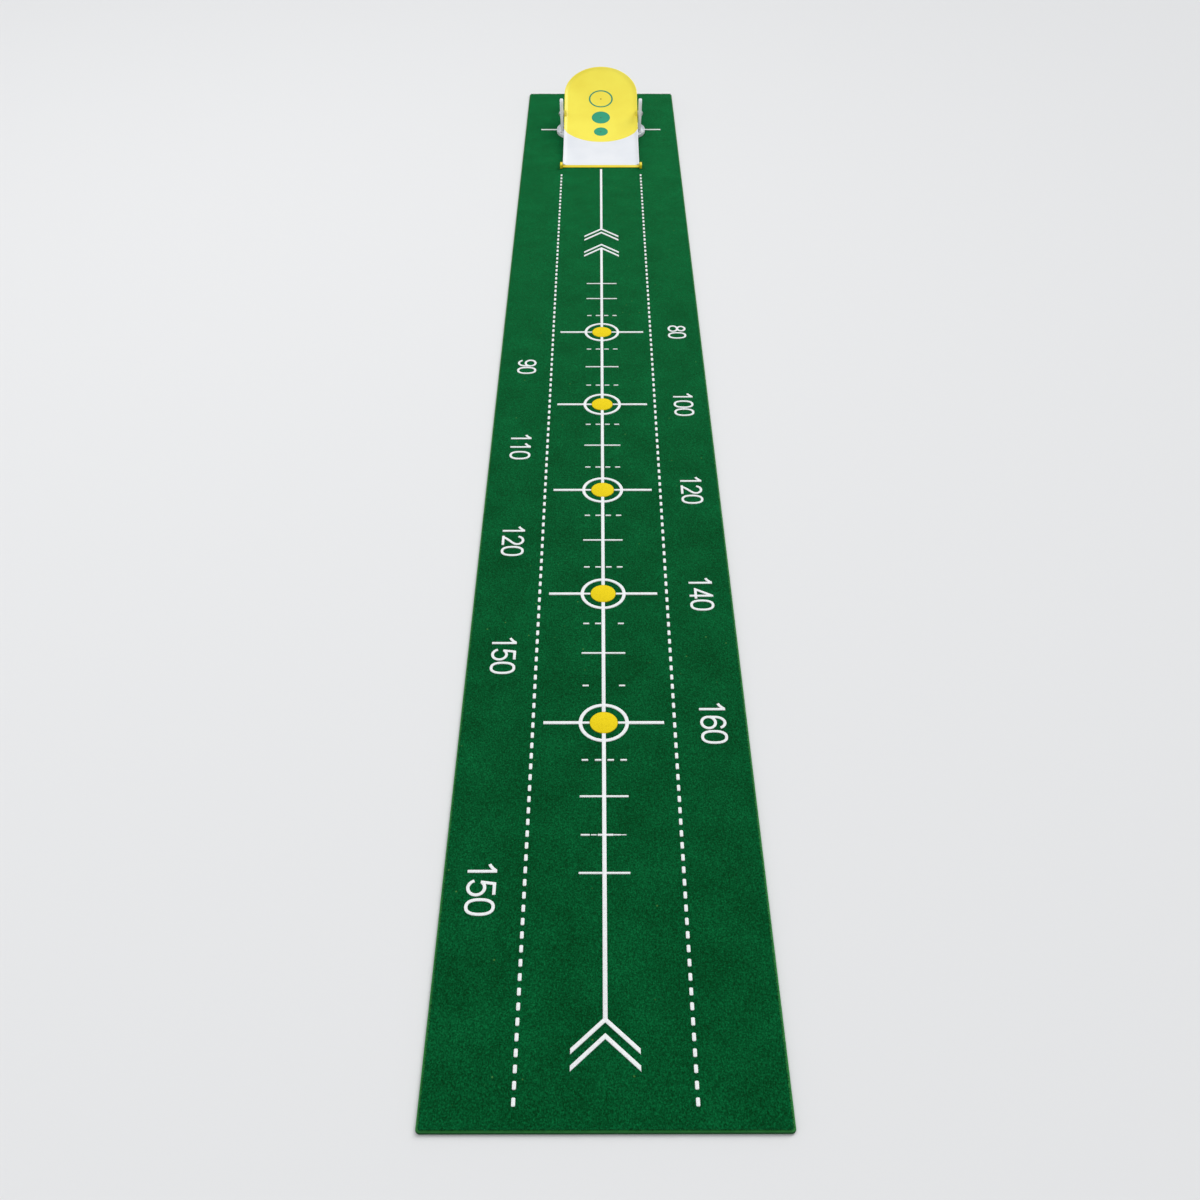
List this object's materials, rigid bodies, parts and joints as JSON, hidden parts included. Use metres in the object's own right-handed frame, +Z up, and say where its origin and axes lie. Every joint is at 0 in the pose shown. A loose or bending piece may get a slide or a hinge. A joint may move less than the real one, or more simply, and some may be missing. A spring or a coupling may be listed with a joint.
{
  "type": "practice putting mat",
  "caption": "Long flat turf putting mat with a curved ball-return ramp that tilts on two upright arms over the hole line.",
  "frame": {"origin": "middle of the mat's underside", "axes": "+Y from the putting end to the ramp, +X to the right when putting, +Z up"},
  "size_m": [0.305, 2.238, 0.0908],
  "materials": {
    "turf": "short nylon pile",
    "backing": "smooth green foam rubber",
    "white_plastic": "moulded, satin",
    "yellow_plastic": "moulded, satin",
    "yellow_lip": "moulded, soft",
    "teal_inlay": "matt",
    "brass": "dull",
    "steel": "zinc plated",
    "nylon": "natural nylon",
    "rubber": "matt"
  },
  "bodies": {
    "mat": {"mat_backing": "backing", "mat_turf": "turf"},
    "trainer_base": {"base_tray": "white_plastic", "left_arm": "white_plastic", "left_grip_pad": "rubber", "left_pivot_bush": "nylon", "left_pivot_washer": "nylon", "left_arm_screw_front": "steel", "left_arm_screw_rear": "steel", "right_arm": "white_plastic", "right_grip_pad": "rubber", "right_pivot_bush": "nylon", "right_pivot_washer": "nylon", "right_arm_screw_front": "steel", "right_arm_screw_rear": "steel"},
    "ramp": {"ramp_shell": "white_plastic", "target_board": "yellow_plastic", "front_lip": "yellow_lip", "target_ring": "teal_inlay", "target_ring_pip": "brass", "middle_target": "teal_inlay", "middle_target_pip": "brass", "small_target": "teal_inlay", "small_target_pip": "brass", "left_lip_cap": "yellow_lip", "left_pivot_pin": "steel", "left_ear_insert": "brass", "left_board_screw_front": "steel", "left_board_screw_rear": "steel", "right_lip_cap": "yellow_lip", "right_pivot_pin": "steel", "right_ear_insert": "brass", "right_board_screw_front": "steel", "right_board_screw_rear": "steel"}
  },
  "joints": [
    {"name": "trainer_lift", "type": "slide", "parent": "mat", "child": "trainer_base", "axis": [0, 0, 1], "range_m": [0, 0.15]},
    {"name": "ramp_tilt", "type": "hinge", "parent": "trainer_base", "child": "ramp", "pos_m": [0, 0.919, 0.03699], "axis": [-1, 0, 0], "range_deg": [0, 32]}
  ]
}
